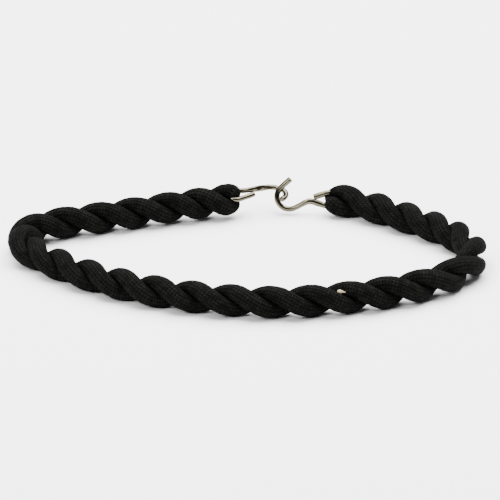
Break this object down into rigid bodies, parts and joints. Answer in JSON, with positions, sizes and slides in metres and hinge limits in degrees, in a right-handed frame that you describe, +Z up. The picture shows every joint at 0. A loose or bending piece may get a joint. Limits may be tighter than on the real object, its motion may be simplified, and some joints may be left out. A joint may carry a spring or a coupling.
{
  "type": "trouser twist",
  "caption": "Elastic trouser band: a doubled, twisted elastic cord lying as an oval ring, closed by bent wire hooks at its ends.",
  "frame": {"origin": "bottom centre of the object's box, on the surface that the ring lies on", "axes": "+X along the ring's long side, +Y towards the hooks at the back, +Z up"},
  "size_m": [0.1102, 0.0698, 0.0081],
  "materials": {
    "black_cover": "black knitted textile cover over elastic, matt and slightly crinkled",
    "core_rubber": "pale natural rubber, matt",
    "plated_wire": "nickel-plated steel wire, bright with faint tool marks"
  },
  "bodies": {
    "band": {"band_ply_outer": "black_cover", "band_ply_inner": "black_cover", "band_core_outer": "core_rubber", "band_core_inner": "core_rubber", "right_bight": "black_cover", "core_end": "core_rubber"},
    "left_arm": {"arm_ply_upper": "black_cover", "arm_ply_lower": "black_cover", "arm_core_upper": "core_rubber", "arm_core_lower": "core_rubber", "left_bight": "black_cover"},
    "left_clasp": {"left_hook": "plated_wire"},
    "right_clasp": {"right_hook": "plated_wire"}
  },
  "joints": [
    {"name": "band_opening", "type": "hinge", "parent": "band", "child": "left_arm", "pos_m": [-0.04596, 0.01963, 0.00375], "axis": [0, 0, 1], "range_deg": [0, 25]},
    {"name": "left_hook_swing", "type": "hinge", "parent": "left_arm", "child": "left_clasp", "pos_m": [-0.00317, 0.02982, 0.00375], "axis": [0, 0, 1], "range_deg": [0, 75]},
    {"name": "right_hook_swing", "type": "hinge", "parent": "band", "child": "right_clasp", "pos_m": [0.01898, 0.03076, 0.00375], "axis": [0.0791, 0.9671, -0.2419], "range_deg": [-2, 5]}
  ],
  "couplings": [
    {"joint": "left_hook_swing", "follows": "band_opening", "ratio": 3}
  ]
}
